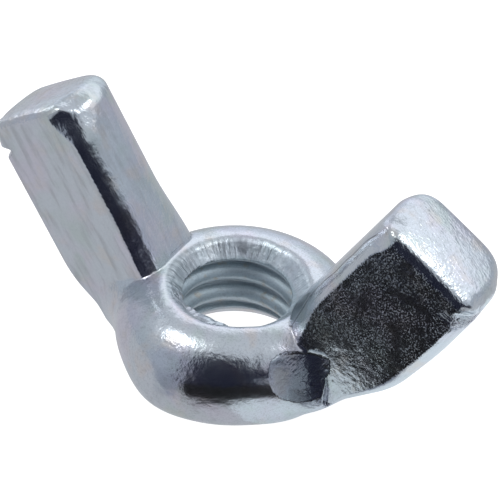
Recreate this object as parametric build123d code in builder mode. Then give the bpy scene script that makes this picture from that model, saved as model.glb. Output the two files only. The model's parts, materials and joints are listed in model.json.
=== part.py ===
from build123d import *
from build123d.topology import SkipClean
from math import ceil, cos, radians, sin, tan
import os

# Wing nut with a 1/4 in coarse thread (20 turns per inch), light series, cold forged and zinc plated.
# Millimetres. The origin is on the thread axis in the plane of the bearing face, +Z runs up the thread
# towards the wing tips, and the wings stand out along +X and -X.
# The real nut is one forging. Its boss and its two wings are made here as separate solids, which meet
# face to face across the wing roots.

# ---- thread ----
thread_major_radius = 3.175
thread_pitch = 1.27
thread_flank_angle = 60.0
thread_root_flat = thread_pitch / 8
bore_radius = 2.59          # crest of the internal thread, as the tapping drill left it
groove_overlap = 0.12       # how far the groove's section reaches past the crest into the empty bore
bore_sectors = 3            # the bore's wall is cut in equal sectors, each with faces of its own
thread_start = 0.6          # turns by which the groove has risen where it passes over +X

# ---- boss ----
boss_radius = 5.9
boss_height = 4.95
boss_top_round = 2.4        # shoulder that rolls in to the countersink
boss_bottom_round = 1.7
countersink_radius = 3.37
countersink_depth = 0.75
under_sink_radius = 3.5     # the countersink in the bearing face is wider and deeper
under_sink_depth = 1.0
sink_reach = 1.0            # both cones run on this far outside the boss

# ---- wings ----
wing_lean = 58.0            # degrees above the bearing plane
wing_root_x = 3.1           # where a wing's inner edge meets the plane of the boss top
wing_length = 9.5           # along the inner edge, from that plane to the tip
wing_width = 5.95           # across the wing, seen from the front
wing_thickness = 4.4        # along Y
wing_inner_round = 1.7
wing_outer_round = 1.2
wing_tip_round = 0.9
knee_height = 3.6           # height of the bend in the outer edge
knee_round = 5.0
heel = Vector(5.1, 0.5)     # X and Z where the outer edge runs in to the boss
foot_height = 1.4           # underside of the wing's core inside the boss
foot_depth = 2.2            # how far the inner edge runs on into the boss
slack = 0.001               # for telling which edges lie within the boss blank
root_blend = 1.0            # concave blend between the wings and the boss
root_line_top = Vector(3.6, 5.0)    # X and Z of two points of the plane that parts wing from boss
root_line_low = Vector(6.3, 0.8)

# ---- derived ----
along = Vector(cos(radians(wing_lean)), sin(radians(wing_lean)))
across = Vector(sin(radians(wing_lean)), -cos(radians(wing_lean)))
root = Vector(wing_root_x, boss_height)
inner_tip = root + along * wing_length
outer_tip = inner_tip + across * wing_width
knee = outer_tip - along * ((outer_tip.Y - knee_height) / along.Y)
inner_foot = root - along * foot_depth
outer_foot = Vector(countersink_radius, foot_height)
root_planes = [
    Plane(
        origin=(side_sign * root_line_top.X, 0, root_line_top.Y),
        z_dir=(side_sign * (root_line_top.Y - root_line_low.Y), 0, root_line_low.X - root_line_top.X),
    )
    for side_sign in (1, -1)
]
countersink_slope = (countersink_radius - bore_radius) / countersink_depth
under_sink_slope = (under_sink_radius - bore_radius) / under_sink_depth
groove_mouth_radius = bore_radius - groove_overlap
groove_flank_run = (thread_major_radius - groove_mouth_radius) * tan(radians(thread_flank_angle / 2))
groove_mouth_width = thread_root_flat + 2 * groove_flank_run
thread_turns = ceil(boss_height / thread_pitch)


def is_root_edge(edge, side_sign):
    """True for an edge where the wing on this side comes out of the boss blank."""
    ends = [edge @ 0, edge @ 1]
    on_side = all(end.X * side_sign > 0 for end in ends)
    near_blank = all(Vector(end.X, end.Y).length < boss_radius + slack for end in ends)
    return on_side and near_blank and all(end.Z < boss_height + slack for end in ends)


# ---- boss blank: a round body, rolled over at the top and rounded at the bottom ----
with BuildPart() as boss_blank:
    with BuildSketch(Plane.XZ):
        with BuildLine():
            bottom = Line((0, 0), (boss_radius - boss_bottom_round, 0))
            low_round = JernArc(bottom @ 1, (1, 0), boss_bottom_round, 90)
            side = Line(low_round @ 1, (boss_radius, boss_height - boss_top_round))
            shoulder = JernArc(side @ 1, (0, 1), boss_top_round, 90)
            Polyline(shoulder @ 1, (0, boss_height), (0, 0))
        make_face()
    revolve(axis=Axis.Z)

# ---- wing bar: a leaning slab with a bend in its outer edge, rounded along its corners and its tip ----
with BuildPart() as wing_bar:
    with BuildSketch(Plane.XZ) as wing_side:
        with BuildLine():
            Polyline(inner_foot, inner_tip, outer_tip, knee, heel, outer_foot, close=True)
        make_face()
        fillet(wing_side.vertices().sort_by_distance(knee)[0], knee_round)
    extrude(amount=wing_thickness / 2, both=True)
    lean_axis = Axis((0, 0, 0), (along.X, 0, along.Y))
    lengthwise = wing_bar.edges().filter_by(lean_axis)
    fillet(lengthwise.group_by(Axis.X)[0], wing_inner_round)
    lengthwise = wing_bar.faces().filter_by(Axis.Y).edges().filter_by(lean_axis)
    fillet(lengthwise.group_by(Axis.X)[-1], wing_outer_round)
    tip_face = wing_bar.faces().sort_by(lean_axis)[-1]
    fillet(tip_face.edges(), wing_tip_round)

# ---- forging: boss and both wings in one, blended where they meet ----
with BuildPart() as forging:
    add(boss_blank.part)
    for side_sign in (1, -1):
        add(wing_bar.part if side_sign > 0 else wing_bar.part.mirror(Plane.YZ))
        seam = [edge for edge in forging.edges(Select.LAST) if is_root_edge(edge, side_sign)]
        fillet(seam, root_blend)

# ---- bore tool: one sector of the drilled bore with its two countersinks ----
with BuildPart() as bore_sector:
    with BuildSketch(Plane.XZ):
        with BuildLine():
            Polyline(
                (0, -sink_reach),
                (under_sink_radius + sink_reach * under_sink_slope, -sink_reach),
                (bore_radius, under_sink_depth),
                (bore_radius, boss_height - countersink_depth),
                (countersink_radius + sink_reach * countersink_slope, boss_height + sink_reach),
                (0, boss_height + sink_reach),
                close=True,
            )
        make_face()
    revolve(axis=Axis.Z, revolution_arc=360 / bore_sectors)

# ---- thread tool: one turn of the groove between the thread's crests ----
with BuildPart() as groove_turn:
    with BuildLine():
        Helix(pitch=thread_pitch, height=thread_pitch, radius=bore_radius)
    with BuildSketch(Plane.XZ):
        with BuildLine():
            Polyline(
                (groove_mouth_radius, -groove_mouth_width / 2),
                (thread_major_radius, -thread_root_flat / 2),
                (thread_major_radius, thread_root_flat / 2),
                (groove_mouth_radius, groove_mouth_width / 2),
                close=True,
            )
        make_face()
    sweep(is_frenet=True)

# ---- boss: the forging between the two roots, bored, countersunk at both ends and tapped ----
with BuildPart() as boss:
    add(forging.part)
    for root_plane in root_planes:
        split(bisect_by=root_plane, keep=Keep.BOTTOM)
    with SkipClean():
        with PolarLocations(0, bore_sectors):
            add(bore_sector.part, mode=Mode.SUBTRACT)
        with Locations(*[(0, 0, (turn + thread_start) * thread_pitch) for turn in range(-1, thread_turns)]):
            add(groove_turn.part, mode=Mode.SUBTRACT)


def cut_wing(root_plane):
    """The forging outside one root, trimmed by the countersink where the root overhangs it."""
    with BuildPart() as wing:
        add(forging.part)
        split(bisect_by=root_plane, keep=Keep.TOP)
        with PolarLocations(0, bore_sectors):
            add(bore_sector.part, mode=Mode.SUBTRACT)
    return wing


wing_right, wing_left = [cut_wing(root_plane) for root_plane in root_planes]

os.makedirs("parts", exist_ok=True)
for name, piece in (("boss", boss), ("wing_right", wing_right), ("wing_left", wing_left)):
    piece.part.label = name
    export_step(piece.part, f"parts/{name}.step")
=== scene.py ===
import json
from math import cos, pi, radians, sin, tan

import bmesh
import bpy
import numpy as np
from mathutils import Matrix, Vector


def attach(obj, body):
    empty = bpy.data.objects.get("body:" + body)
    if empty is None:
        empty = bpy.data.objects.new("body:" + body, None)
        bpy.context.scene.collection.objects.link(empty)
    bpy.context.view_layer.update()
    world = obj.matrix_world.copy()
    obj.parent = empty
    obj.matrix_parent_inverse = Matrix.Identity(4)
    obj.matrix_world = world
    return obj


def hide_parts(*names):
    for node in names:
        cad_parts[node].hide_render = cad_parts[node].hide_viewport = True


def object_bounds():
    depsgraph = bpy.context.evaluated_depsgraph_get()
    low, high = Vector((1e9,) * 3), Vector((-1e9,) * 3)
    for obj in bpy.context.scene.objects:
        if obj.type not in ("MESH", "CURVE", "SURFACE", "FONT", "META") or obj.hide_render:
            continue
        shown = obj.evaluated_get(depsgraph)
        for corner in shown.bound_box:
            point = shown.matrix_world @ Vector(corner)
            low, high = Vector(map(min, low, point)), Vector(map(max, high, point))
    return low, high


# Looks of a forged, zinc-plated wing nut. The whole nut is one continuous form, given as a signed
# distance. Its skin is netted once and then cut at the two wing roots into the pieces boss_skin,
# wing_right_skin and wing_left_skin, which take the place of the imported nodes. The script works in
# millimetres and scales the finished pieces to metres. X runs towards the right wing, -Y is the
# front and Z is the thread axis. An azimuth on the nut is 0 in front and 90 on the right, in degrees.

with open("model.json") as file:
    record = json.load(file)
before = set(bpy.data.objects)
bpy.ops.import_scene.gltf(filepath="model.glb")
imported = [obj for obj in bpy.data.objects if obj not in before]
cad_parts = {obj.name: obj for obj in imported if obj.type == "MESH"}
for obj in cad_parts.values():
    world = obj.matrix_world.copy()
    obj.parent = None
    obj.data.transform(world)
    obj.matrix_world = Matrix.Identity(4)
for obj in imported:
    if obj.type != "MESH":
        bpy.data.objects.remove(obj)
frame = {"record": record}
cad_low, cad_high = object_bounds()
thread_mount = next(m for m in frame["record"]["mounts"] if m["name"] == "thread")
MM = 0.001

# ---------------------------------------------------------------------------------------------
# Sizes of the forging. A pair named _RUN holds where a change starts and where it is complete, and
# a pair named _PLACE holds the middle and the spread of a mark.
# ---------------------------------------------------------------------------------------------
REACH = cad_high.x / MM            # from the thread axis to the outermost point of a wing
TOP = cad_high.z / MM              # height of the wing tips
BOX_SLACK = 1e-4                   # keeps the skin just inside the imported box

# ---- boss ----
BOSS_RADIUS = cad_high.y / MM
BOSS_HEIGHT = 4.95
SHOULDER_ROUND = 2.4
DRAFT = radians(14)                # at the front the side draws in below its waist
DRAFT_PLACE = (25, 75)             # azimuth
DRAFT_OFF = 1.0                    # away from there the drafted plane stands this far off the side
WAIST = 2.6
WAIST_EASE = 0.35
FOOT_ROUND = 0.9                   # under the drafted front
ROUND_FOOT = 2.35                  # elsewhere the foot is rounder
OUT_OF_ROUND = [                   # flats and swells of the side: azimuth, spread, depth
    (-60, 45, 0.08),
    (40, 34, 0.12),
    (-14, 26, -0.12),
    (64, 26, -0.08),
]

# ---- bore, countersinks and thread ----
BORE_RADIUS = thread_mount["dims"]["r_mm"]
SINK_RADIUS = 3.37
SINK_DEPTH = 0.75
SINK_REACH = 0.04                  # how far above the boss top the countersink cuts into the wings' roots
SINK_SHIFT = 0.08                  # the countersink is a little off the thread's axis
SINK_WAVER = 0.05                  # unevenness of its edge
SINK_WAVES = [(3, 1, 1.0), (7, 0, 0.5), (16, 0, 0.3)]  # waves round the edge, phase, share of the waver
UNDER_SINK_RADIUS = 3.7
UNDER_SINK_DEPTH = 1.4
MAJOR_RADIUS = 3.175
PITCH = 1.27
FLANK = radians(60)
ROOT_FLAT = PITCH / 8
CREST_ROUND = 0.3
ROOT_ROUND = 0.12
THREAD_START = 0.6                 # turns by which the groove has risen where it passes over +X
FADE_RUN = (3.8, 4.4)              # heights between which the groove runs out
BURR_PLACE = (-5, 32)              # the thread's first crest ends in a burr at this azimuth
BURR_HEIGHT_PLACE = (4.15, 0.42)
BURR_SIZE = 0.42
BURR_SETBACK = 0.05
BURR_LEAST = 0.02                  # a thinner burr is left out
BURR_AWAY = 2.0                    # where there is no burr, its surface is put this far off
RIM_ROUND = 0.18                   # where the bore opens into the skin

# ---- wings ----
LEAN = radians(58)
WING_WIDTH = 5.95
WING_THICKNESS = 4.4
INNER_ROUND = 1.3                  # front corner of the inner face
OUTER_ROUND = 1.2                  # front corner of the outer face
OUTER_TIP_CORNER = 0.5             # that corner is this much rounder at the tip
BACK_ROOT_ROUND = 1.0              # back corner of the inner face, at the root
FRONT_INSET = 0.17                 # the front face is flat, with a crisp edge along the inner corner
KNEE_HEIGHT = 3.6                  # height of the bend in the outer edge
KNEE_EASE = 0.35
HEEL = (5.1, 0.5)                  # X and Z where the outer edge runs in to the boss
UNDER_OUT = (0.887, 0.4615)        # the core's underside faces down, and in to the thread axis, by these
BULGE_PLACE = (-4.0, 3.2)          # from the tip, along the outer edge
STEP_LENGTH = 0.35                 # of the trimming step, along the wing

# ---- tip ----
TIP_ROUND = 0.9                    # at the inner and outer ends of the tip
TIP_FRONT_ROUND = 0.35
TIP_BACK_ROUND = 0.6
TIP_FLANK_RUN = (0.45, 0.8)        # shares of the half thickness over which the rounding changes
TIP_DOME = 0.24
TIP_DROP = 0.05                    # keeps the domed tip under the height of the wing
TIP_ROLL_START = 1.3               # from the wing's middle plane, where the tip rolls off to the front
TIP_ROLL = 0.15

# ---- runs along the wing, from the boss top up ----
RELIEF_RUN = (-0.5, 4.0)
FRONT_CORNER_RUN = (-0.5, 3.5)
BACK_CORNER_RUN = (0, 4)
BACK_TAPER_RUN = (3, 8)

# ---- runs along the wing, from the tip ----
INNER_TIP_RUN = (-2.2, -0.4)
OUTER_TIP_RUN = (-2.0, -0.3)

# ---- wing roots ----
ROOT_BLEND = 1.1                   # at the heel
FLANK_BLEND = 1.5                  # at the wings' front and back faces
FLANK_RUN = (1.4, 2.3)             # distances from the middle plane between the two
CREASE_ROUND = 0.05                # where the wings' inner faces meet the boss top
CREASE_RUN = (2.8, 4.85)           # heights between which the blend closes to that crease
FOOT_BLEND = 0.25
FOOT_RUN = (0.3, 1.6)              # heights between which the blend opens from the foot
ROOT_TOP = (3.6, 5.0)              # X and Z of two points of the plane that parts wing from boss
ROOT_LOW = (6.3, 0.8)

# ---- dents at the front root of the right wing ----
SCOOP_AZIMUTH = radians(56)        # a leaning cylinder that was pressed in
SCOOP_RADIUS = 2.2
SCOOP_OUT = 9.12                   # from the thread axis to the cylinder's axis, in the bearing plane
SCOOP_LEAN = 0.46                  # how much nearer it is for each millimetre of height
SCOOP_END = 6.1                    # X where it stops on the wing's front face
SCOOP_TOP = 4.7
SCOOP_ROUND = 0.6
SHAVED_FROM = (6.05, 1.6)          # X and Z from which the root blend is shaved off the front face
SHAVED_ROUND = 0.2

# ---- net ----
CELL = 0.085                       # of the grid that the skin is made on
MARGIN_CELLS = 2.5
PROBE = 0.012                      # step for the slope of the distance
SETTLE_ROUNDS = 4
LEAST_SLOPE = 0.05                 # squared; guards the steps onto the skin where the form is flat
TINY = 1e-9
CUT_SLACK = 1e-6
FLAT = 0.9999                      # cosine above which a face counts as facing a cut
ON_CUT = 1e-4                      # distance under which it counts as lying on the cut

# What tells the two wings apart, keyed by their side. All lengths are millimetres of metal.
WINGS = {
    1: dict(
        step=0.55,                 # where the trimming step starts, from the tip
        trim=0.0,                  # how much thinner the wing is below the step
        nick=0.14,                 # depth of the notch under the step
        bulge=0.09,                # fills the middle of the outer edge
        heel_fill=0.0,             # fills the lower end of the outer edge
        root_relief=0.0,           # taken off the inner face at the root
        inner_trim=0.0,            # taken off the inner face above it
        root_round=1.0,            # the inner front corner is this much rounder at the root
        tip_corner=0.45,           # and this much at the tip
        back_inner=1.45,           # rounding of the inner back corner
        back_outer=2.0,            # rounding of the outer back corner
        back_taper=0.14,           # taken off the back face towards the tip
    ),
    -1: dict(
        step=1.15,
        trim=0.18,
        nick=0.34,
        bulge=0.0,
        heel_fill=0.27,
        root_relief=0.36,
        inner_trim=0.14,
        root_round=0.0,
        tip_corner=0.95,
        back_inner=1.95,
        back_outer=1.3,
        back_taper=0.0,
    ),
}

# ---- derived ----
ALONG = (cos(LEAN), sin(LEAN))     # X and Z of the wing's length, and of its width from the inner edge
ACROSS = (sin(LEAN), -cos(LEAN))
TIP_Z = TOP - TIP_ROUND + TIP_ROUND * (cos(LEAN) + sin(LEAN))
OUTER_TIP_X = REACH - TIP_ROUND + TIP_ROUND * (cos(LEAN) + sin(LEAN))
TIP_X = OUTER_TIP_X - WING_WIDTH * ACROSS[0]
OUTER_TIP_Z = TIP_Z + WING_WIDTH * ACROSS[1]
KNEE_X = OUTER_TIP_X - (OUTER_TIP_Z - KNEE_HEIGHT) * ALONG[0] / ALONG[1]
HEEL_RUN = np.hypot(KNEE_X - HEEL[0], KNEE_HEIGHT - HEEL[1])
HEEL_OUT = ((KNEE_HEIGHT - HEEL[1]) / HEEL_RUN, -(KNEE_X - HEEL[0]) / HEEL_RUN)
SINK_SLOPE = (SINK_RADIUS - BORE_RADIUS) / SINK_DEPTH
UNDER_SLOPE = (UNDER_SINK_RADIUS - BORE_RADIUS) / UNDER_SINK_DEPTH


# ---------------------------------------------------------------------------------------------
# Shaping tools. Distances are negative inside the metal.
# ---------------------------------------------------------------------------------------------
def smooth(low, high, value):
    """0 below low, 1 above high, and a smooth rise between them."""
    share = np.clip((value - low) / (high - low), 0, 1)
    return share * share * (3 - 2 * share)


def hump(middle, spread, value):
    """1 at the middle, easing to 0 a spread away from it."""
    return 1 - smooth(0, spread, np.abs(value - middle))


def blend(low, high, share):
    """From low at share 0 to high at share 1."""
    return low + (high - low) * share


def meet(a, b, radius):
    """Distance to what two solids share, with the edge between them rounded."""
    beyond = np.hypot(np.maximum(a + radius, 0), np.maximum(b + radius, 0))
    return np.minimum(np.maximum(a, b), -radius) + beyond


def join(a, b, radius):
    """Distance to two solids together, with a concave blend between them."""
    within = np.hypot(np.maximum(radius - a, 0), np.maximum(radius - b, 0))
    return np.maximum(np.minimum(a, b), radius) - within


def soften(a, b, ease):
    """Distance to what two solids share where they meet at a shallow angle, softened."""
    return np.maximum(a, b) + np.maximum(ease - np.abs(a - b), 0) ** 2 / (4 * ease)


def azimuth_of(x, y):
    """Degrees round the nut from the front towards the right."""
    return np.degrees(np.arctan2(x, -y))


# ---------------------------------------------------------------------------------------------
# The forging as a signed distance
# ---------------------------------------------------------------------------------------------
def boss_distance(x, y, z):
    """The round body, a little out of round, with a rolled shoulder and a drafted front."""
    azimuth = azimuth_of(x, y)
    out = np.hypot(x, y)
    for place, spread, depth in OUT_OF_ROUND:
        out = out + depth * hump(place, spread, azimuth)
    side = out - BOSS_RADIUS
    drawn = hump(*DRAFT_PLACE, azimuth)
    drawn_in = side * cos(DRAFT) + (WAIST - z) * sin(DRAFT)
    side = soften(side, drawn_in - DRAFT_OFF * (1 - drawn), WAIST_EASE)
    foot = blend(ROUND_FOOT, FOOT_ROUND, drawn)
    return meet(meet(side, z - BOSS_HEIGHT, SHOULDER_ROUND), -z, foot)


def inner_face(across, above_root, beyond, at_back, marks):
    """The wing's inner face, and the rounding of its corners."""
    relief = blend(marks["inner_trim"], marks["root_relief"], 1 - smooth(*RELIEF_RUN, above_root))
    back = blend(marks["back_inner"], BACK_ROOT_ROUND, 1 - smooth(*BACK_CORNER_RUN, above_root))
    front = INNER_ROUND + marks["root_round"] * (1 - smooth(*FRONT_CORNER_RUN, above_root))
    front = front + marks["tip_corner"] * smooth(*INNER_TIP_RUN, beyond)
    return relief - across, np.where(at_back, back, front)


def outer_face(x, z, across, beyond, at_back, marks):
    """The wing's outer face with its trimming step, nick and bend, and the rounding of its corners."""
    step_end = -marks["step"] - STEP_LENGTH
    face = across - WING_WIDTH - marks["bulge"] * hump(*BULGE_PLACE, beyond)
    face = face + marks["trim"] * (1 - smooth(step_end, -marks["step"], beyond))
    face = face + marks["nick"] * hump(step_end, STEP_LENGTH, beyond)
    heel = (x - KNEE_X) * HEEL_OUT[0] + (z - KNEE_HEIGHT) * HEEL_OUT[1] - marks["heel_fill"]
    front = OUTER_ROUND + OUTER_TIP_CORNER * smooth(*OUTER_TIP_RUN, beyond)
    return soften(face, heel, KNEE_EASE), np.where(at_back, marks["back_outer"], front)


def tip_face(y, across, beyond, at_back):
    """The domed tip, rolled off to the front, and the rounding of its edges."""
    half = WING_THICKNESS / 2
    from_middle = np.abs(across / WING_WIDTH - 0.5) * 2
    dome = TIP_DOME * (1 - from_middle**2) * (1 - (y / half) ** 2) - TIP_DROP
    dome = dome - TIP_ROLL * np.clip((-y - TIP_ROLL_START) / (half - TIP_ROLL_START), 0, 1) ** 2
    flank_round = np.where(at_back, TIP_BACK_ROUND, TIP_FRONT_ROUND)
    at_flank = smooth(*TIP_FLANK_RUN, np.abs(y) / half)
    return beyond - dome, blend(TIP_ROUND, flank_round, at_flank)


def wing_distance(x, y, z, marks):
    """One wing, with X measured towards its own side."""
    beyond = (x - TIP_X) * ALONG[0] + (z - TIP_Z) * ALONG[1]
    across = (x - TIP_X) * ACROSS[0] + (z - TIP_Z) * ACROSS[1]
    above_root = beyond - (BOSS_HEIGHT - TIP_Z) / ALONG[1]
    at_back = y > 0

    flank = np.abs(y) - WING_THICKNESS / 2
    flank = flank + marks["back_taper"] * at_back * smooth(*BACK_TAPER_RUN, above_root)
    inner, inner_round = inner_face(across, above_root, beyond, at_back, marks)
    outer, outer_round = outer_face(x, z, across, beyond, at_back, marks)
    side = np.maximum(meet(flank, inner, inner_round), meet(flank, outer, outer_round))
    side = np.maximum(side, FRONT_INSET - y - WING_THICKNESS / 2)
    tip, tip_round = tip_face(y, across, beyond, at_back)
    under = (HEEL[1] - z) * UNDER_OUT[0] + (HEEL[0] - x) * UNDER_OUT[1]
    return np.maximum(meet(side, tip, tip_round), under)


def groove_distance(out, angle, z):
    """The thread's helical groove, positive inside it."""
    turn = angle / (2 * pi) + THREAD_START
    off = z / PITCH - turn
    off = np.abs(off - np.round(off)) * PITCH
    major = MAJOR_RADIUS - (MAJOR_RADIUS - BORE_RADIUS) * smooth(*FADE_RUN, z)
    half_width = ROOT_FLAT / 2 + (major - out) * tan(FLANK / 2)
    return -meet((off - half_width) * cos(FLANK / 2), out - major, ROOT_ROUND)


def sink_distances(x, y, z, out, angle):
    """The upper countersink, whose edge wavers, and the lower one, positive inside them."""
    waver = sum(share * np.sin(count * angle + phase) for count, phase, share in SINK_WAVES)
    edge = SINK_RADIUS + SINK_WAVER * waver
    sink_out = np.hypot(x - SINK_SHIFT, y)
    sink = (edge - (BOSS_HEIGHT - z) * SINK_SLOPE - sink_out) / np.hypot(1, SINK_SLOPE)
    sink = np.minimum(sink, BOSS_HEIGHT + SINK_REACH - z)
    under = (UNDER_SINK_RADIUS - z * UNDER_SLOPE - out) / np.hypot(1, UNDER_SLOPE)
    return sink, under


def burr_distance(x, y, z, out):
    """The space that the burr on the first crest leaves open."""
    burr = BURR_SIZE * hump(*BURR_PLACE, azimuth_of(x, y)) * hump(*BURR_HEIGHT_PLACE, z)
    away = BURR_AWAY * (burr < BURR_LEAST)
    return BORE_RADIUS + BURR_SETBACK - burr - out + away


def bore_distance(x, y, z):
    """Positive in the open bore, its countersinks and its thread's groove, negative in the metal."""
    out = np.hypot(x, y)
    angle = np.arctan2(y, x)
    wall = meet(BORE_RADIUS - out, groove_distance(out, angle, z), CREST_ROUND)
    sink, under = sink_distances(x, y, z, out, angle)
    open_bore = np.maximum(wall, np.maximum(sink, under))
    return np.minimum(open_bore, burr_distance(x, y, z, out))


def root_dents(x, y, z):
    """The scoop pressed into the right wing's front root, and the blend shaved off beside it."""
    reach = SCOOP_OUT - SCOOP_LEAN * z
    from_axis = np.hypot(x - reach * sin(SCOOP_AZIMUTH), y + reach * cos(SCOOP_AZIMUTH))
    scoop = np.maximum((from_axis - SCOOP_RADIUS) / np.hypot(1, SCOOP_LEAN), x - SCOOP_END)
    scoop = meet(scoop, z - SCOOP_TOP, SCOOP_ROUND)
    shaved = np.maximum(SHAVED_FROM[0] - x, y + WING_THICKNESS / 2 - FRONT_INSET)
    shaved = meet(shaved, SHAVED_FROM[1] - z, SHAVED_ROUND)
    return scoop, shaved


def blend_radius(y, z):
    """Radius of the concave blend between a wing and the boss."""
    radius = blend(ROOT_BLEND, FLANK_BLEND, smooth(*FLANK_RUN, np.abs(y)))
    radius = blend(radius, CREASE_ROUND, smooth(*CREASE_RUN, z))
    return blend(radius, FOOT_BLEND, 1 - smooth(*FOOT_RUN, z))


def nut_distance(x, y, z):
    """Signed distance to the nut's skin, negative inside the metal."""
    radius = blend_radius(y, z)
    body = boss_distance(x, y, z)
    for side, marks in WINGS.items():
        body = join(body, wing_distance(side * x, y, z, marks), radius)
    scoop, shaved = root_dents(x, y, z)
    body = np.maximum(np.maximum(body, -scoop), -shaved)
    return np.maximum(meet(body, bore_distance(x, y, z), RIM_ROUND), -z)


# ---------------------------------------------------------------------------------------------
# The skin as a mesh: one net of quads, cut at the wing roots
# ---------------------------------------------------------------------------------------------
def slope_at(points):
    """Gradient of the distance, which is the skin's outward direction."""
    slope = np.empty_like(points)
    for axis in range(3):
        ahead, behind = points.copy(), points.copy()
        ahead[:, axis] += PROBE
        behind[:, axis] -= PROBE
        slope[:, axis] = (nut_distance(*ahead.T) - nut_distance(*behind.T)) / (2 * PROBE)
    return slope


def settle(points):
    """Moves points that lie near the skin onto it."""
    for _ in range(SETTLE_ROUNDS):
        slope = slope_at(points)
        steepness = np.maximum((slope**2).sum(1), LEAST_SLOPE)
        move = slope * (nut_distance(*points.T) / steepness)[:, None]
        length = np.linalg.norm(move, axis=1)
        points = points - move * np.minimum(1, CELL / np.maximum(length, TINY))[:, None]
    return points


def sample_grid():
    """The distance at the points of a grid round the nut, and the grid's low corner."""
    half_box = np.array([REACH, BOSS_RADIUS, TOP])
    low = half_box * (-1, -1, 0) - MARGIN_CELLS * CELL
    count = np.ceil((half_box + MARGIN_CELLS * CELL - low) / CELL).astype(int) + 1
    xs, ys, zs = (low[axis] + CELL * np.arange(count[axis]) for axis in range(3))
    value = np.empty(count, np.float32)
    for i, x in enumerate(xs):
        value[i] = nut_distance(x, ys[:, None], zs[None, :])
    return value, low


def skin_cells(inside):
    """The grid's cells that the skin passes through, and each one's number by its place."""
    count = inside.shape
    corners = [
        inside[i:count[0] - 1 + i, j:count[1] - 1 + j, k:count[2] - 1 + k]
        for i in (0, 1) for j in (0, 1) for k in (0, 1)
    ]
    full = sum(corner.astype(np.int8) for corner in corners)
    cells = np.argwhere((full > 0) & (full < len(corners)))
    number = np.full(full.shape, -1, np.int32)
    number[tuple(cells.T)] = np.arange(len(cells))
    return cells, number


def cell_points(value, cells):
    """For each cell, the mean of the places where the skin crosses its edges, in cells."""
    total = np.zeros((len(cells), 3))
    hits = np.zeros(len(cells))
    for axis in range(3):
        others = [a for a in range(3) if a != axis]
        for first in (0, 1):
            for second in (0, 1):
                start = cells.copy()
                start[:, others[0]] += first
                start[:, others[1]] += second
                end = start.copy()
                end[:, axis] += 1
                a, b = value[tuple(start.T)], value[tuple(end.T)]
                crossed = (a < 0) != (b < 0)
                share = np.where(crossed, a / np.where(crossed, a - b, 1), 0)
                place = start.astype(float)
                place[:, axis] += share
                total += place * crossed[:, None]
                hits += crossed
    return total / hits[:, None]


def skin_quads(inside, number):
    """One quad round each of the grid's edges that crosses the skin, facing out of the metal."""
    count = inside.shape
    quads = []
    for axis in range(3):
        b, c = (axis + 1) % 3, (axis + 2) % 3
        near = [slice(1, size - 1) for size in count]
        far = list(near)
        near[axis], far[axis] = slice(0, count[axis] - 1), slice(1, count[axis])
        start_in, end_in = inside[tuple(near)], inside[tuple(far)]
        edges = np.argwhere(start_in != end_in)
        outward = start_in[tuple(edges.T)]
        edges = edges + [0 if a == axis else 1 for a in range(3)]
        ring = []
        for db, dc in ((-1, -1), (0, -1), (0, 0), (-1, 0)):
            cell = edges.copy()
            cell[:, b] += db
            cell[:, c] += dc
            ring.append(number[tuple(cell.T)])
        around = np.stack(ring, 1)
        around[~outward] = around[~outward][:, ::-1]
        quads.append(around)
    return np.concatenate(quads)


def forging_mesh():
    """The skin of the whole nut as one closed mesh."""
    value, low = sample_grid()
    inside = value < 0
    cells, number = skin_cells(inside)
    points = settle(low + CELL * cell_points(value, cells))
    limit = np.array([REACH, BOSS_RADIUS, TOP]) - BOX_SLACK
    mesh = bpy.data.meshes.new("forging")
    mesh.from_pydata(np.clip(points, -limit, limit).tolist(), [], skin_quads(inside, number).tolist())
    mesh.update()
    return mesh


def root_plane(side, outward):
    """A point of the plane across one root, and its direction: towards the wing tip if outward is 1."""
    normal = Vector((side * (ROOT_TOP[1] - ROOT_LOW[1]), 0, ROOT_LOW[0] - ROOT_TOP[0])).normalized()
    return Vector((side * ROOT_TOP[0], 0, ROOT_TOP[1])), normal * outward


def cut_mesh(name, whole, planes):
    """The part of the whole skin behind each plane, closed by a flat face where it was cut."""
    work = bmesh.new()
    work.from_mesh(whole)
    for origin, outward in planes:
        geometry = work.verts[:] + work.edges[:] + work.faces[:]
        cut = bmesh.ops.bisect_plane(
            work, geom=geometry, dist=CUT_SLACK, plane_co=origin, plane_no=outward, clear_outer=True
        )
        rim = [edge for edge in cut["geom_cut"] if isinstance(edge, bmesh.types.BMEdge)]
        bmesh.ops.holes_fill(work, edges=rim, sides=0)
    mesh = bpy.data.meshes.new(name)
    work.to_mesh(mesh)
    work.free()
    return mesh


def lies_on_cut(face, planes):
    """True for a face that closes one of the cuts."""
    if face.loop_total > 4:
        return True
    return any(
        abs(face.normal.dot(outward)) > FLAT and abs((face.center - origin).dot(outward)) < ON_CUT
        for origin, outward in planes
    )


def shade_by_slope(mesh, planes):
    """Smooth shading with the form's own directions, so that it runs on across the cuts."""
    points = np.empty(len(mesh.vertices) * 3)
    mesh.vertices.foreach_get("co", points)
    normals = slope_at(points.reshape(-1, 3))
    normals /= np.maximum(np.linalg.norm(normals, axis=1), TINY)[:, None]
    corners = np.empty(len(mesh.loops), np.int32)
    mesh.loops.foreach_get("vertex_index", corners)
    corner_normals = normals[corners]
    for face in mesh.polygons:
        if lies_on_cut(face, planes):
            corner_normals[face.loop_start:face.loop_start + face.loop_total] = face.normal
    mesh.shade_smooth()
    mesh.normals_split_custom_set(corner_normals.tolist())


def cut_piece(name, whole, planes):
    """One piece of the nut, in metres."""
    mesh = cut_mesh(name, whole, planes)
    shade_by_slope(mesh, planes)
    mesh.transform(Matrix.Scale(MM, 4))
    piece = bpy.data.objects.new(name, mesh)
    bpy.context.collection.objects.link(piece)
    return piece


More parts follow.
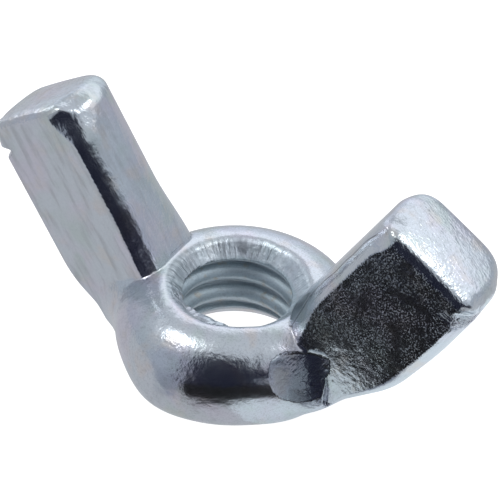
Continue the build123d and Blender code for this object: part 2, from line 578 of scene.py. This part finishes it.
forging = forging_mesh()
boss = cut_piece("boss_skin", forging, [root_plane(1, 1), root_plane(-1, 1)])
wing_right = cut_piece("wing_right_skin", forging, [root_plane(1, -1)])
wing_left = cut_piece("wing_left_skin", forging, [root_plane(-1, -1)])


# ---------------------------------------------------------------------------------------------
# Materials
# ---------------------------------------------------------------------------------------------
BRIGHT = (0.60, 0.65, 0.70, 1)
LAVENDER = (0.63, 0.63, 0.71, 1)
GREEN_GREY = (0.55, 0.62, 0.63, 1)
TEAL = (0.55, 0.64, 0.69, 1)
WARM = (0.64, 0.61, 0.57, 1)
DULL = (0.40, 0.42, 0.44, 1)
# near-black for dark grain, for the darkening between the countersink's flutes, and for painted shade in
# the thread's groove, the lap and the countersink's left side
DARK_TONE_AND_SHADE = (0.06, 0.07, 0.08, 1)
RUST = (0.50, 0.42, 0.30, 1)


class Finish:
    """A metal finish, with short ways to add nodes to it. Lengths in its nodes are in millimetres."""

    def __init__(self, name):
        self.material = bpy.data.materials.new(name)
        self.material.use_nodes = True
        self.tree = self.material.node_tree
        self.shader = self.tree.nodes["Principled BSDF"]
        self.shader.inputs["Metallic"].default_value = 1.0
        coordinates = self.tree.nodes.new("ShaderNodeTexCoord")
        place = self.tree.nodes.new("ShaderNodeVectorMath")
        place.operation = "SCALE"
        self.link(coordinates.outputs["Object"], place.inputs[0])
        place.inputs["Scale"].default_value = 1 / MM
        self.place = place.outputs[0]
        self.x, self.y, self.z = self.parts(self.place)
        self.facing_y = self.parts(coordinates.outputs["Normal"])[1]

    def link(self, value, socket):
        """Feeds a socket from another node's output, or with a plain value."""
        if isinstance(value, bpy.types.NodeSocket):
            self.tree.links.new(value, socket)
        else:
            socket.default_value = value

    def parts(self, vector):
        """The X, Y and Z of a vector."""
        split = self.tree.nodes.new("ShaderNodeSeparateXYZ")
        self.link(vector, split.inputs[0])
        return split.outputs[0], split.outputs[1], split.outputs[2]

    def vector(self, x, y, z):
        combined = self.tree.nodes.new("ShaderNodeCombineXYZ")
        for value, socket in zip((x, y, z), combined.inputs):
            self.link(value, socket)
        return combined.outputs[0]

    def math(self, operation, *values):
        node = self.tree.nodes.new("ShaderNodeMath")
        node.operation = operation
        for value, socket in zip(values, node.inputs):
            self.link(value, socket)
        return node.outputs[0]

    def add(self, *values):
        total = values[0]
        for value in values[1:]:
            total = self.math("ADD", total, value)
        return total

    def times(self, *values):
        total = values[0]
        for value in values[1:]:
            total = self.math("MULTIPLY", total, value)
        return total

    def less(self, value, taken):
        """The value with something taken from it."""
        return self.math("SUBTRACT", value, taken)

    def size_of(self, value):
        """The value without its sign."""
        return self.math("ABSOLUTE", value)

    def between(self, low, high, value):
        """0 at low, 1 at high, and a smooth rise between them."""
        node = self.tree.nodes.new("ShaderNodeMapRange")
        node.interpolation_type = "SMOOTHSTEP"
        self.link(value, node.inputs["Value"])
        node.inputs["From Min"].default_value = low
        node.inputs["From Max"].default_value = high
        return node.outputs["Result"]

    def near(self, middle, spread, value):
        """1 at the middle, easing to 0 a spread away from it."""
        return self.between(spread, 0, self.size_of(self.less(value, middle)))

    def noise(self, size, detail=2.0, place=None):
        """Noise from 0 to 1 whose lumps are about the given size."""
        node = self.tree.nodes.new("ShaderNodeTexNoise")
        self.link(self.place if place is None else place, node.inputs["Vector"])
        node.inputs["Scale"].default_value = 1 / size
        node.inputs["Detail"].default_value = detail
        node.inputs["Roughness"].default_value = 0.5
        return node.outputs["Fac"]

    def lump(self, size, height, detail=2.0, place=None):
        """Noise as a relief of the given height, about zero."""
        return self.times(self.less(self.noise(size, detail, place), 0.5), 2 * height)

    def mix(self, share, low, high):
        """A colour between low, at share 0, and high, at share 1."""
        node = self.tree.nodes.new("ShaderNodeMix")
        node.data_type = "RGBA"
        self.link(share, node.inputs["Factor"])
        self.link(low, node.inputs["A"])
        self.link(high, node.inputs["B"])
        return node.outputs["Result"]

    def set(self, color, roughness, relief):
        """Completes the finish. The relief is in millimetres."""
        self.link(color, self.shader.inputs["Base Color"])
        self.link(roughness, self.shader.inputs["Roughness"])
        bump = self.tree.nodes.new("ShaderNodeBump")
        bump.inputs["Strength"].default_value = 1.0
        bump.inputs["Distance"].default_value = MM
        self.link(relief, bump.inputs["Height"])
        self.link(bump.outputs[0], self.shader.inputs["Normal"])
        return self.material


def tarnish(f):
    """Bright zinc whose tint drifts between blue, lavender, a greenish grey and a warm grey."""
    color = f.mix(f.between(0.44, 0.66, f.noise(size=2.4)), BRIGHT, LAVENDER)
    color = f.mix(f.between(0.50, 0.72, f.noise(size=1.7)), color, GREEN_GREY)
    warmed = f.between(0.52, 0.74, f.noise(size=1.2, detail=3))
    return f.mix(f.times(warmed, 0.6), color, WARM)


def forged_relief(f):
    """The gentle unevenness that the whole forging has."""
    return f.add(f.lump(size=0.9, height=0.02, detail=1), f.lump(size=0.20, height=0.006))


class WingFinish(Finish):
    """A finish that knows where a point lies on its wing."""

    def __init__(self, name):
        super().__init__(name)
        out = self.less(self.size_of(self.x), TIP_X)
        rise = self.less(self.z, TIP_Z)
        self.beyond = self.add(self.times(out, ALONG[0]), self.times(rise, ALONG[1]))
        self.across = self.add(self.times(out, ACROSS[0]), self.times(rise, ACROSS[1]))
        self.broad = self.between(0.90, 0.985, self.size_of(self.facing_y))   # front and back faces
        self.end = self.between(-0.40, -0.15, self.beyond)
        self.on_right = self.between(-0.1, 0.1, self.x)
        self.on_front = self.between(0.1, -0.1, self.y)
        self.flowing = self.vector(self.times(self.beyond, 0.16), self.across, self.y)


def lap_line(f):
    """A fine lap that runs along the right wing's inner corner."""
    drift = f.add(f.y, f.lump(size=1.2, height=0.10, detail=1))
    line = f.near(-1.5, 0.05, drift)
    return f.times(line, f.on_right, f.between(1.0, 0.7, f.across), f.between(-0.9, -1.3, f.beyond))


def pit_glints(f):
    """The bright rims of the pits on a broad face, in patches above the root."""
    specks = f.between(0.54, 0.74, f.noise(size=0.085, detail=4))
    patches = f.between(0.36, 0.60, f.noise(size=1.0, detail=3))
    return f.times(specks, patches, f.between(3.6, 6.2, f.z))


def wing_color(f, lap):
    """Tarnished zinc with streaks along the wing, fine grain on the right and painted shade in the lap."""
    streaks = f.between(0.45, 0.72, f.noise(size=0.35, detail=4, place=f.flowing))
    color = f.mix(f.times(streaks, f.add(0.30, f.times(f.broad, 0.25))), tarnish(f), DULL)
    grain = f.between(0.42, 0.66, f.noise(size=0.10, detail=3))
    color = f.mix(f.times(grain, f.add(0.05, f.times(f.broad, f.on_right, 0.08))), color, DARK_TONE_AND_SHADE)
    # painted shade: the lap's crease along the inner corner is darkened in the colour
    return f.mix(f.times(lap, 0.55), color, DARK_TONE_AND_SHADE)


def end_relief(f):
    """Scratches over the wing's end, coarser on the right wing."""
    scratched = f.vector(f.times(f.across, 0.10), f.beyond, f.add(f.y, f.times(0.25, f.across)))
    relief = f.times(f.end, f.lump(size=0.08, height=0.007, place=scratched))
    return f.add(relief, f.times(f.end, f.on_right, f.lump(size=0.18, height=0.008, detail=3)))


def scrape_relief(f):
    """A scraped patch at the outer front corner of the right wing, under the tip."""
    patch = f.times(f.near(-1.15, 0.5, f.beyond), f.between(4.4, 4.8, f.across), f.on_front, f.on_right)
    scraped = f.vector(f.beyond, f.times(f.across, 0.2), f.y)
    return f.times(patch, f.lump(size=0.16, height=0.10, place=scraped))


def wing_relief(f, lap, glints):
    """Lumps on the broad faces, pits on the right one, flow lines, and the marks at the tip."""
    pitted = f.times(f.broad, f.on_right)
    return f.add(
        forged_relief(f),
        f.times(f.broad, f.lump(size=0.30, height=0.012)),
        f.times(pitted, glints, 0.014),
        f.lump(size=0.14, height=0.008, place=f.flowing),
        f.times(lap, -0.04),
        end_relief(f),
        scrape_relief(f),
    )


def zinc_over_wings():
    """Bright zinc: finely pitted on the right wing's broad faces, streaked, scratched on the ends."""
    f = WingFinish("bright_zinc_wing")
    lap = lap_line(f)
    glints = pit_glints(f)
    roughness = f.add(
        0.16,
        f.times(0.12, f.noise(size=0.7)),
        f.times(0.36, f.broad, f.on_right, glints),
    )
    return f.set(wing_color(f, lap), roughness, wing_relief(f, lap, glints))


class BossFinish(Finish):
    """A finish that knows where a point lies on the boss. Its angle is in radians from +X."""

    def __init__(self, name):
        super().__init__(name)
        self.out = self.math("SQRT", self.add(self.times(self.x, self.x), self.times(self.y, self.y)))
        self.angle = self.math("ARCTAN2", self.y, self.x)
        self.off_right = self.size_of(self.angle)
        on_cone = self.between(SINK_RADIUS + 0.15, SINK_RADIUS - 0.06, self.out)
        within_bore = self.between(SINK_RADIUS - 0.1, SINK_RADIUS - 0.35, self.out)
        self.in_sink = self.times(on_cone, self.between(4.0, 4.3, self.z))
        self.in_bore = self.times(within_bore, self.between(4.45, 4.2, self.z))
        self.in_groove = self.times(self.between(MAJOR_RADIUS - 0.25, MAJOR_RADIUS, self.out), self.in_bore)
        around = self.times(self.angle, SINK_RADIUS)
        fluted = self.vector(around, self.times(self.out, 0.16), self.times(self.z, 0.16))
        self.fluting = self.noise(size=0.20, detail=3, place=fluted)


def bore_color(f, color):
    """Greenish zinc in the bore, painted shade in the thread's groove, with a touch of rust."""
    color = f.mix(f.math("MAXIMUM", f.in_bore, f.times(f.in_sink, 0.5)), color, TEAL)
    # painted shade: the groove's root is darkened where the crests shadow it
    color = f.mix(f.times(f.in_groove, 0.55), color, DARK_TONE_AND_SHADE)
    rusty = f.between(0.58, 0.72, f.noise(size=0.6, detail=3))
    return f.mix(f.times(f.in_bore, rusty, 0.5), color, RUST)


def sink_color(f, color):
    """Darkening between the countersink's flutes, light on the right and with painted shade much stronger
    on the left, and painted shade over its left side.
    """
    # a little darkening between the flutes, with painted shade that grows towards the left side
    flute_dark_and_shade = f.add(0.06, f.times(0.34, f.between(0.5, 3.0, f.off_right)))
    color = f.mix(f.times(f.in_sink, f.between(0.40, 0.70, f.fluting), flute_dark_and_shade), color, DARK_TONE_AND_SHADE)
    # painted shade over the countersink's left side
    shade = f.between(2.3, 3.1, f.off_right)
    return f.mix(f.times(f.in_sink, shade, 0.35), color, DARK_TONE_AND_SHADE)


def boss_color(f):
    """Tarnished zinc with dull stains and fine grain over it."""
    stain = f.between(0.52, 0.72, f.noise(size=0.7, detail=4))
    color = f.mix(f.times(stain, 0.25), tarnish(f), DULL)
    color = sink_color(f, bore_color(f, color))
    grain = f.between(0.45, 0.72, f.noise(size=0.10, detail=3))
    return f.mix(f.times(grain, 0.15), color, DARK_TONE_AND_SHADE)


def boss_relief(f):
    """Patchy flutes in the countersink, a rough band on the front shoulder, chips at the rim."""
    patchy = f.between(0.35, 0.60, f.noise(size=0.8, detail=1))
    front = f.times(f.between(-3.0, -4.4, f.y), f.near(4.35, 0.75, f.z))
    chips = f.times(f.near(3.0, 0.35, f.out), f.near(-2.2, 0.6, f.angle), f.between(4.1, 4.4, f.z))
    return f.add(
        forged_relief(f),
        f.times(f.in_sink, patchy, f.less(f.fluting, 0.5), 0.10),
        f.times(front, f.lump(size=0.16, height=0.005)),
        f.times(chips, f.lump(size=0.22, height=0.14)),
    )


def zinc_over_boss():
    """Bright zinc: smooth on the shoulder, fluted in the countersink, duller in the thread."""
    f = BossFinish("bright_zinc_boss")
    roughness = f.add(
        0.18,
        f.times(0.12, f.noise(size=0.7)),
        f.times(0.30, f.in_bore),
        f.times(0.12, f.in_sink),
    )
    return f.set(boss_color(f), roughness, boss_relief(f))


zinc_boss = zinc_over_boss()
zinc_wing = zinc_over_wings()
for piece, material, node, slot in (
    (boss, zinc_boss, "boss", "zinc_boss"),
    (wing_right, zinc_wing, "wing_right", "zinc_wing"),
    (wing_left, zinc_wing, "wing_left", "zinc_wing"),
):
    piece.data.materials.append(material)
    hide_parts(node)
    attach(piece, "root")


# ---------------------------------------------------------------------------------------------
# Studio. The camera sees only the floor. The grey table and the cloths on and round it show in
# the metal's reflections alone.
# ---------------------------------------------------------------------------------------------
HALF_FLOOR = 2000                  # half the floor's width, in millimetres
TABLE_HEIGHT = -0.1                # in millimetres from the floor, as are all heights of cloths and cards
CLOTH_HEIGHT = 0.1
PALE_HEIGHT = 0.05                 # the pale cloth lies under the others

# floor outlines of the lying cloths, in millimetres
NEAR_EDGE = [(0.2, -7.5), (2.0, -6.6), (3.2, -6.15), (5.0, -6.1), (6.0, -5.6), (7.0, -4.6), (16, -4.0)]
MIDDLE_EDGE = [(28, -17), (-2.4, -17)]
FAR_EDGE = [(70, -60), (-9, -60)]
SIDE_OUTLINE = [(-2.4, -17), (-0.2, -7.6), (-2.5, -7.9), (-9, -17), (-50, -60), (-9, -60)]
PALE_OUTLINE = [(3.2, -6.0), (24, -6.0), (24, 12), (6.0, 12)]
# outline of a grey patch that paints the table's shadow beside the nut's right, seen only in reflections
SHADOW_OUTLINE = [(7.0, -4.6), (7.0, -2.2), (11.0, -2.2), (11.0, -4.3)]


def plain(name, color, glow=0.0):
    """A matt surface without gloss, which may glow a little in its own colour."""
    material = bpy.data.materials.new(name)
    material.use_nodes = True
    shader = material.node_tree.nodes["Principled BSDF"]
    shader.inputs["Base Color"].default_value = (*color, 1)
    shader.inputs["Roughness"].default_value = 0.9
    shader.inputs["Specular IOR Level"].default_value = 0.0
    shader.inputs["Emission Color"].default_value = (*color, 1)
    shader.inputs["Emission Strength"].default_value = glow
    return material


def flat_piece(name, corners, material):
    """A flat stage piece whose corners are in millimetres."""
    mesh = bpy.data.meshes.new(name)
    mesh.from_pydata([Vector(corner) * MM for corner in corners], [], [range(len(corners))])
    mesh.materials.append(material)
    piece = bpy.data.objects.new(name, mesh)
    bpy.context.collection.objects.link(piece)
    return piece


def floor_plate(name, height, material):
    """A square plate round the thread axis."""
    signs = ((-1, -1), (1, -1), (1, 1), (-1, 1))
    return flat_piece(name, [(sx * HALF_FLOOR, sy * HALF_FLOOR, height) for sx, sy in signs], material)


def only_reflected(piece):
    """Hides a stage piece from everything but the metal's reflections."""
    piece.visible_camera = False
    piece.visible_diffuse = False
    piece.visible_shadow = False


def lying_cloth(name, outline, material, height=CLOTH_HEIGHT):
    """A cloth on the floor, inside an outline."""
    only_reflected(flat_piece(name, [(x, y, height) for x, y in outline], material))


def upright_card(name, start, end, start_height, end_height, material, bottom=CLOTH_HEIGHT):
    """A standing card between two points of the floor."""
    corners = [(*start, bottom), (*end, bottom), (*end, end_height), (*start, start_height)]
    only_reflected(flat_piece(name, corners, material))


def softbox(name, azimuth, elevation, distance, size, strength, color=(1, 1, 1)):
    """An area light that faces the nut. Azimuth 0 is in front, 90 is on the nut's right."""
    a, e = radians(azimuth), radians(elevation)
    back = Vector((sin(a) * cos(e), -cos(a) * cos(e), sin(e)))
    light = bpy.data.lights.new(name, "AREA")
    light.shape = "RECTANGLE"
    light.size, light.size_y = size
    light.energy = strength * size[0] * size[1] * pi
    light.color = color
    lamp = bpy.data.objects.new(name, light)
    lamp.location = back * distance
    lamp.rotation_euler = back.to_track_quat("Z", "Y").to_euler()
    bpy.context.collection.objects.link(lamp)


def studio_air(horizon, zenith):
    """A world that is brighter overhead than at the horizon."""
    world = bpy.data.worlds.new("studio")
    world.use_nodes = True
    nodes, links = world.node_tree.nodes, world.node_tree.links
    direction = nodes.new("ShaderNodeTexCoord")
    split = nodes.new("ShaderNodeSeparateXYZ")
    rise = nodes.new("ShaderNodeMapRange")
    rise.inputs["From Max"].default_value = 0.9
    mix = nodes.new("ShaderNodeMix")
    mix.data_type = "RGBA"
    mix.inputs["A"].default_value = (*horizon, 1)
    mix.inputs["B"].default_value = (*zenith, 1)
    links.new(direction.outputs["Generated"], split.inputs[0])
    links.new(split.outputs["Z"], rise.inputs["Value"])
    links.new(rise.outputs["Result"], mix.inputs["Factor"])
    links.new(mix.outputs["Result"], nodes["Background"].inputs["Color"])
    bpy.context.scene.world = world


def lay_ground():
    """The white floor that the camera sees, and the grey table that the metal reflects."""
    floor = floor_plate("floor", 0.0, plain("floor_white", (0.35, 0.35, 0.35), 2.8))
    floor.visible_glossy = False
    only_reflected(floor_plate("table", TABLE_HEIGHT, plain("table_grey", (0.3, 0.3, 0.31), 0.85)))


def hang_lights():
    """Two keys overhead, two wide fills behind and a small strip on the left."""
    softbox("key_left", -60, 62, 0.3, (0.095, 0.07), 5.6)
    softbox("key_right", 112, 58, 0.3, (0.09, 0.06), 5.5)
    softbox("back_fill", 172, 43, 0.4, (0.80, 0.24), 0.62, (0.97, 0.97, 1.0))
    softbox("back_left", 212, 12, 0.4, (0.50, 0.18), 0.34, (0.95, 0.95, 1.08))
    softbox("strip_left", -109, 17, 0.3, (0.055, 0.05), 2.6)


def set_out_cloths():
    """The dark, grey and pale cloths and cards that draw the bands in the metal, and a painted shadow
    beside the nut.
    """
    black = plain("dark_cloth_low", (0.016, 0.015, 0.015))
    dark = plain("dark_cloth", (0.012, 0.013, 0.026))
    grey = plain("grey_cloth", (0.42, 0.44, 0.49))
    slate = plain("slate_cloth", (0.36, 0.40, 0.44))
    pale = plain("pale_cloth", (0.60, 0.63, 0.64), 0.75)

    lying_cloth("dark_card_near", NEAR_EDGE + MIDDLE_EDGE, black)
    lying_cloth("dark_card_far", MIDDLE_EDGE[::-1] + FAR_EDGE, dark)
    # painted shadow: a grey patch for the table's shade beside the nut
    lying_cloth("painted_shadow_near", SHADOW_OUTLINE, grey)
    lying_cloth("grey_card_side", SIDE_OUTLINE, grey)
    lying_cloth("pale_card", PALE_OUTLINE, pale, PALE_HEIGHT)
    upright_card("dark_card_front", (-8, -60), (70, -60), 100, 130, dark)
    upright_card("dark_card_right", (72, -45), (78, -6), 42, 34, dark)
    upright_card("dark_card_corner", (70, -60), (72, -45), 74, 42, dark)
    upright_card("grey_card_right", (13, -13), (16, -6), 5.4, 5.4, slate, bottom=3.5)
    upright_card("grey_card_rear", (16, -6), (17, 4), 4.8, 4.8, slate)
    upright_card("dark_card_right_rear", (78, -6), (77, 14), 30, 24, dark)
    upright_card("grey_card", (-60, -58), (-8, -60), 55, 75, grey)


# ---- camera ----
SENSOR = 36.0
LENS = 171.929
AZIMUTH, ELEVATION, ROLL = radians(30.036), radians(40.698), radians(1.966)
DISTANCE = 115.70 * MM
AIM = (0.00458, 0.04645)           # slopes by which the view turns off the origin, right and up
NEAREST = 0.005


def place_camera():
    """A long lens on the front right, above the nut, that looks a little past the origin."""
    back = Vector((sin(AZIMUTH) * cos(ELEVATION), -cos(AZIMUTH) * cos(ELEVATION), sin(ELEVATION)))
    right = Vector((cos(AZIMUTH), sin(AZIMUTH), 0))
    forward = (-back + right * AIM[0] + back.cross(right) * AIM[1]).normalized()
    level = forward.cross(Vector((0, 0, 1))).normalized()
    upright = level.cross(forward)
    rolled_right = level * cos(ROLL) + upright * sin(ROLL)
    rolled_up = upright * cos(ROLL) - level * sin(ROLL)
    lens = bpy.data.cameras.new("camera")
    lens.sensor_width = SENSOR
    lens.lens = LENS
    lens.clip_start = NEAREST
    camera = bpy.data.objects.new("camera", lens)
    turn = Matrix((rolled_right, rolled_up, -forward)).transposed().to_4x4()
    camera.matrix_world = Matrix.Translation(back * DISTANCE) @ turn
    bpy.context.collection.objects.link(camera)
    bpy.context.scene.camera = camera
    bpy.context.scene.view_settings.view_transform = "Standard"


lay_ground()
studio_air(horizon=(0.46, 0.50, 0.56), zenith=(0.66, 0.68, 0.72))
hang_lights()
set_out_cloths()
place_camera()
